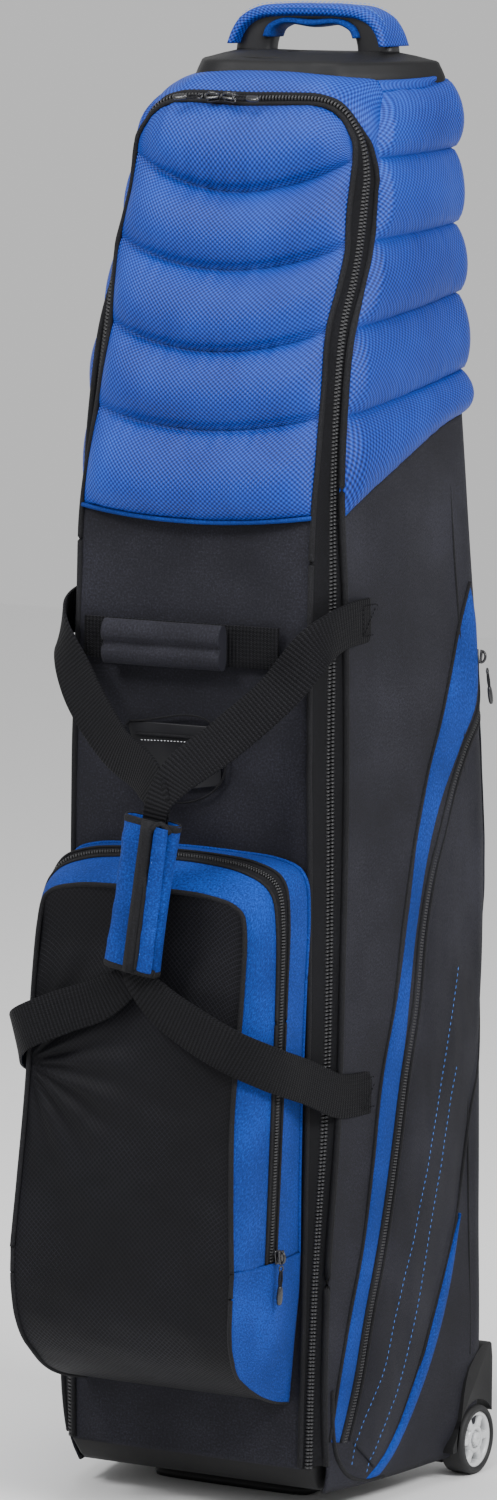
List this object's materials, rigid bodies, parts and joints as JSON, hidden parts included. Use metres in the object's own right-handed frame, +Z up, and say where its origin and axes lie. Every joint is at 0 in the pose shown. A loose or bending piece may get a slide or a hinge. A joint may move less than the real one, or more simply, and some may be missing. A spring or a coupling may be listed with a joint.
{
  "type": "golf travel case",
  "caption": "Upright soft-sided golf club travel case with hard top cap, zipped front panel and pocket, carry straps, kick foot and two wheels.",
  "frame": {"origin": "on the floor under the middle of the case's bounding box", "axes": "+Z up, the zipped front faces -Y, +X to the right"},
  "size_m": [0.328, 0.376, 1.295],
  "materials": {
    "blue_fabric": "royal blue woven polyester",
    "quilted_fabric": "royal blue quilted polyester",
    "black_fabric": "charcoal woven polyester",
    "ripstop_fabric": "dark diamond ripstop",
    "webbing": "ribbed black webbing",
    "zip_tape": "black zip tape with coil",
    "cap_plastic": "dark grey textured ABS",
    "black_plastic": "black moulded plastic",
    "window": "dark soft vinyl",
    "zip_metal": "black lacquered zip hardware",
    "tyre": "black urethane",
    "rim": "silver white moulded rim",
    "steel": "plain steel",
    "foam": "dense grey foam"
  },
  "bodies": {
    "case": {"base_tray": "black_plastic", "kick_foot": "black_plastic", "back_panel": "black_fabric", "side_panel_left": "black_fabric", "side_panel_right": "black_fabric", "hood_shell": "blue_fabric", "top_cap": "cap_plastic", "carry_handle": "black_plastic", "carry_handle_grip": "blue_fabric", "main_zip_tape_outer": "zip_tape", "wheel_housing_left": "black_plastic", "wheel_housing_right": "black_plastic", "side_stripe_left": "blue_fabric", "side_stripe_right": "blue_fabric", "side_zip_tape_left": "zip_tape", "side_zip_tape_right": "zip_tape", "side_pocket_left": "black_fabric", "side_pocket_right": "black_fabric", "axles": "steel", "axle_nuts": "steel", "base_pad": "foam", "crown_pad": "foam", "cinch_strap_lower": "webbing", "cinch_strap_upper": "webbing", "cinch_socket_lower": "black_plastic", "cinch_socket_upper": "black_plastic", "handle_screws": "steel", "foot_screws": "steel"},
    "front_panel": {"front_panel_shell": "black_fabric", "front_quilt": "quilted_fabric", "main_zip_tape_inner": "zip_tape", "name_window": "window", "pocket_gusset": "blue_fabric", "pocket_bucket": "black_fabric", "pocket_zip_tape": "zip_tape"},
    "pocket_cover": {"pocket_cover": "ripstop_fabric"},
    "strap_right": {"strap_right": "webbing", "wrap_cuff": "blue_fabric"},
    "strap_left": {"strap_left": "webbing"},
    "wrap_flap": {"wrap_flap": "black_fabric"},
    "front_grab": {"front_grab_handle": "blue_fabric"},
    "rear_grab": {"rear_grab_handle": "blue_fabric"},
    "wheel_left": {"tyre_left": "tyre", "rim_left": "rim", "bearing_left": "steel"},
    "wheel_right": {"tyre_right": "tyre", "rim_right": "rim", "bearing_right": "steel"},
    "main_slider_left": {"main_slider_left": "zip_metal"},
    "main_pull_left": {"main_pull_left": "zip_metal"},
    "main_slider_right": {"main_slider_right": "zip_metal"},
    "main_pull_right": {"main_pull_right": "zip_metal"},
    "side_slider_left": {"side_slider_left": "zip_metal"},
    "side_pull_left": {"side_pull_left": "zip_metal"},
    "side_slider_right": {"side_slider_right": "zip_metal"},
    "side_pull_right": {"side_pull_right": "zip_metal"},
    "pocket_slider": {"pocket_slider": "zip_metal"},
    "pocket_pull": {"pocket_pull": "zip_metal"},
    "cinch_plug_lower": {"cinch_plug_lower": "black_plastic"},
    "cinch_plug_upper": {"cinch_plug_upper": "black_plastic"}
  },
  "joints": [
    {"name": "wheel_left_spin", "type": "hinge", "parent": "case", "child": "wheel_left", "pos_m": [-0.1525, 0.157, 0.031], "axis": [1, 0, 0], "continuous": true},
    {"name": "wheel_right_spin", "type": "hinge", "parent": "case", "child": "wheel_right", "pos_m": [0.1525, 0.157, 0.031], "axis": [1, 0, 0], "continuous": true},
    {"name": "front_panel_open", "type": "hinge", "parent": "case", "child": "front_panel", "pos_m": [0, -0.0755, 0.0485], "axis": [1, 0, 0], "range_deg": [0, 60], "deforming": ["strap_right", "strap_left", "wrap_cuff", "wrap_flap"]},
    {"name": "pocket_cover_open", "type": "hinge", "parent": "front_panel", "child": "pocket_cover", "pos_m": [0, -0.1876, 0.2345], "axis": [1, 0, 0], "range_deg": [0, 75], "deforming": ["strap_right", "strap_left", "wrap_cuff", "wrap_flap"]},
    {"name": "strap_right_swing", "type": "hinge", "parent": "case", "child": "strap_right", "pos_m": [0.139, -0.004, 0.57], "axis": [0, 0, 1], "range_deg": [0, 150]},
    {"name": "strap_left_swing", "type": "hinge", "parent": "case", "child": "strap_left", "pos_m": [-0.139, -0.004, 0.57], "axis": [0, 0, -1], "range_deg": [0, 150]},
    {"name": "wrap_flap_open", "type": "hinge", "parent": "strap_right", "child": "wrap_flap", "pos_m": [0.0316, -0.187, 0.489], "axis": [0.1564, 0, 0.9877], "range_deg": [0, 150]},
    {"name": "front_grab_lift", "type": "hinge", "parent": "front_panel", "child": "front_grab", "pos_m": [0, -0.0782, 0.7725], "axis": [-1, 0, 0], "range_deg": [0, 60]},
    {"name": "rear_grab_lift", "type": "hinge", "parent": "case", "child": "rear_grab", "pos_m": [0, 0.1745, 0.3765], "axis": [-1, 0, 0], "range_deg": [0, 45]},
    {"name": "main_slider_left_slide", "type": "slide", "parent": "case", "child": "main_slider_left", "axis": [-1, 0, 0], "range_m": [0, 0.045]},
    {"name": "main_pull_left_swing", "type": "hinge", "parent": "main_slider_left", "child": "main_pull_left", "pos_m": [-0.036, -0.005, 1.213], "axis": [0, -1, 0], "range_deg": [0, 80]},
    {"name": "side_slider_left_slide", "type": "slide", "parent": "case", "child": "side_slider_left", "axis": [0, -0.208, -0.9781], "range_m": [0, 0.04]},
    {"name": "side_pull_left_swing", "type": "hinge", "parent": "side_slider_left", "child": "side_pull_left", "pos_m": [-0.159, 0.1622, 0.715], "axis": [0, 1, 0], "range_deg": [0, 60]},
    {"name": "main_slider_right_slide", "type": "slide", "parent": "case", "child": "main_slider_right", "axis": [1, 0, 0], "range_m": [0, 0.045]},
    {"name": "main_pull_right_swing", "type": "hinge", "parent": "main_slider_right", "child": "main_pull_right", "pos_m": [-0.006, -0.005, 1.213], "axis": [0, 1, 0], "range_deg": [0, 80]},
    {"name": "side_slider_right_slide", "type": "slide", "parent": "case", "child": "side_slider_right", "axis": [0, -0.208, -0.9781], "range_m": [0, 0.04]},
    {"name": "side_pull_right_swing", "type": "hinge", "parent": "side_slider_right", "child": "side_pull_right", "pos_m": [0.159, 0.1622, 0.715], "axis": [0, -1, 0], "range_deg": [0, 60]},
    {"name": "pocket_slider_slide", "type": "slide", "parent": "front_panel", "child": "pocket_slider", "axis": [0, 0, 1], "range_m": [0, 0.2]},
    {"name": "pocket_pull_swing", "type": "hinge", "parent": "pocket_slider", "child": "pocket_pull", "pos_m": [0.1213, -0.1335, 0.233], "axis": [-1, 0, 0], "range_deg": [0, 90]},
    {"name": "cinch_plug_lower_slide", "type": "slide", "parent": "case", "child": "cinch_plug_lower", "axis": [1, 0, 0], "range_m": [0, 0.03]},
    {"name": "cinch_plug_upper_slide", "type": "slide", "parent": "case", "child": "cinch_plug_upper", "axis": [1, 0, 0], "range_m": [0, 0.03]}
  ],
  "couplings": [
    {"joint": "strap_right_swing", "follows": "front_panel_open", "ratio": 2.5},
    {"joint": "strap_left_swing", "follows": "front_panel_open", "ratio": 2.5}
  ]
}
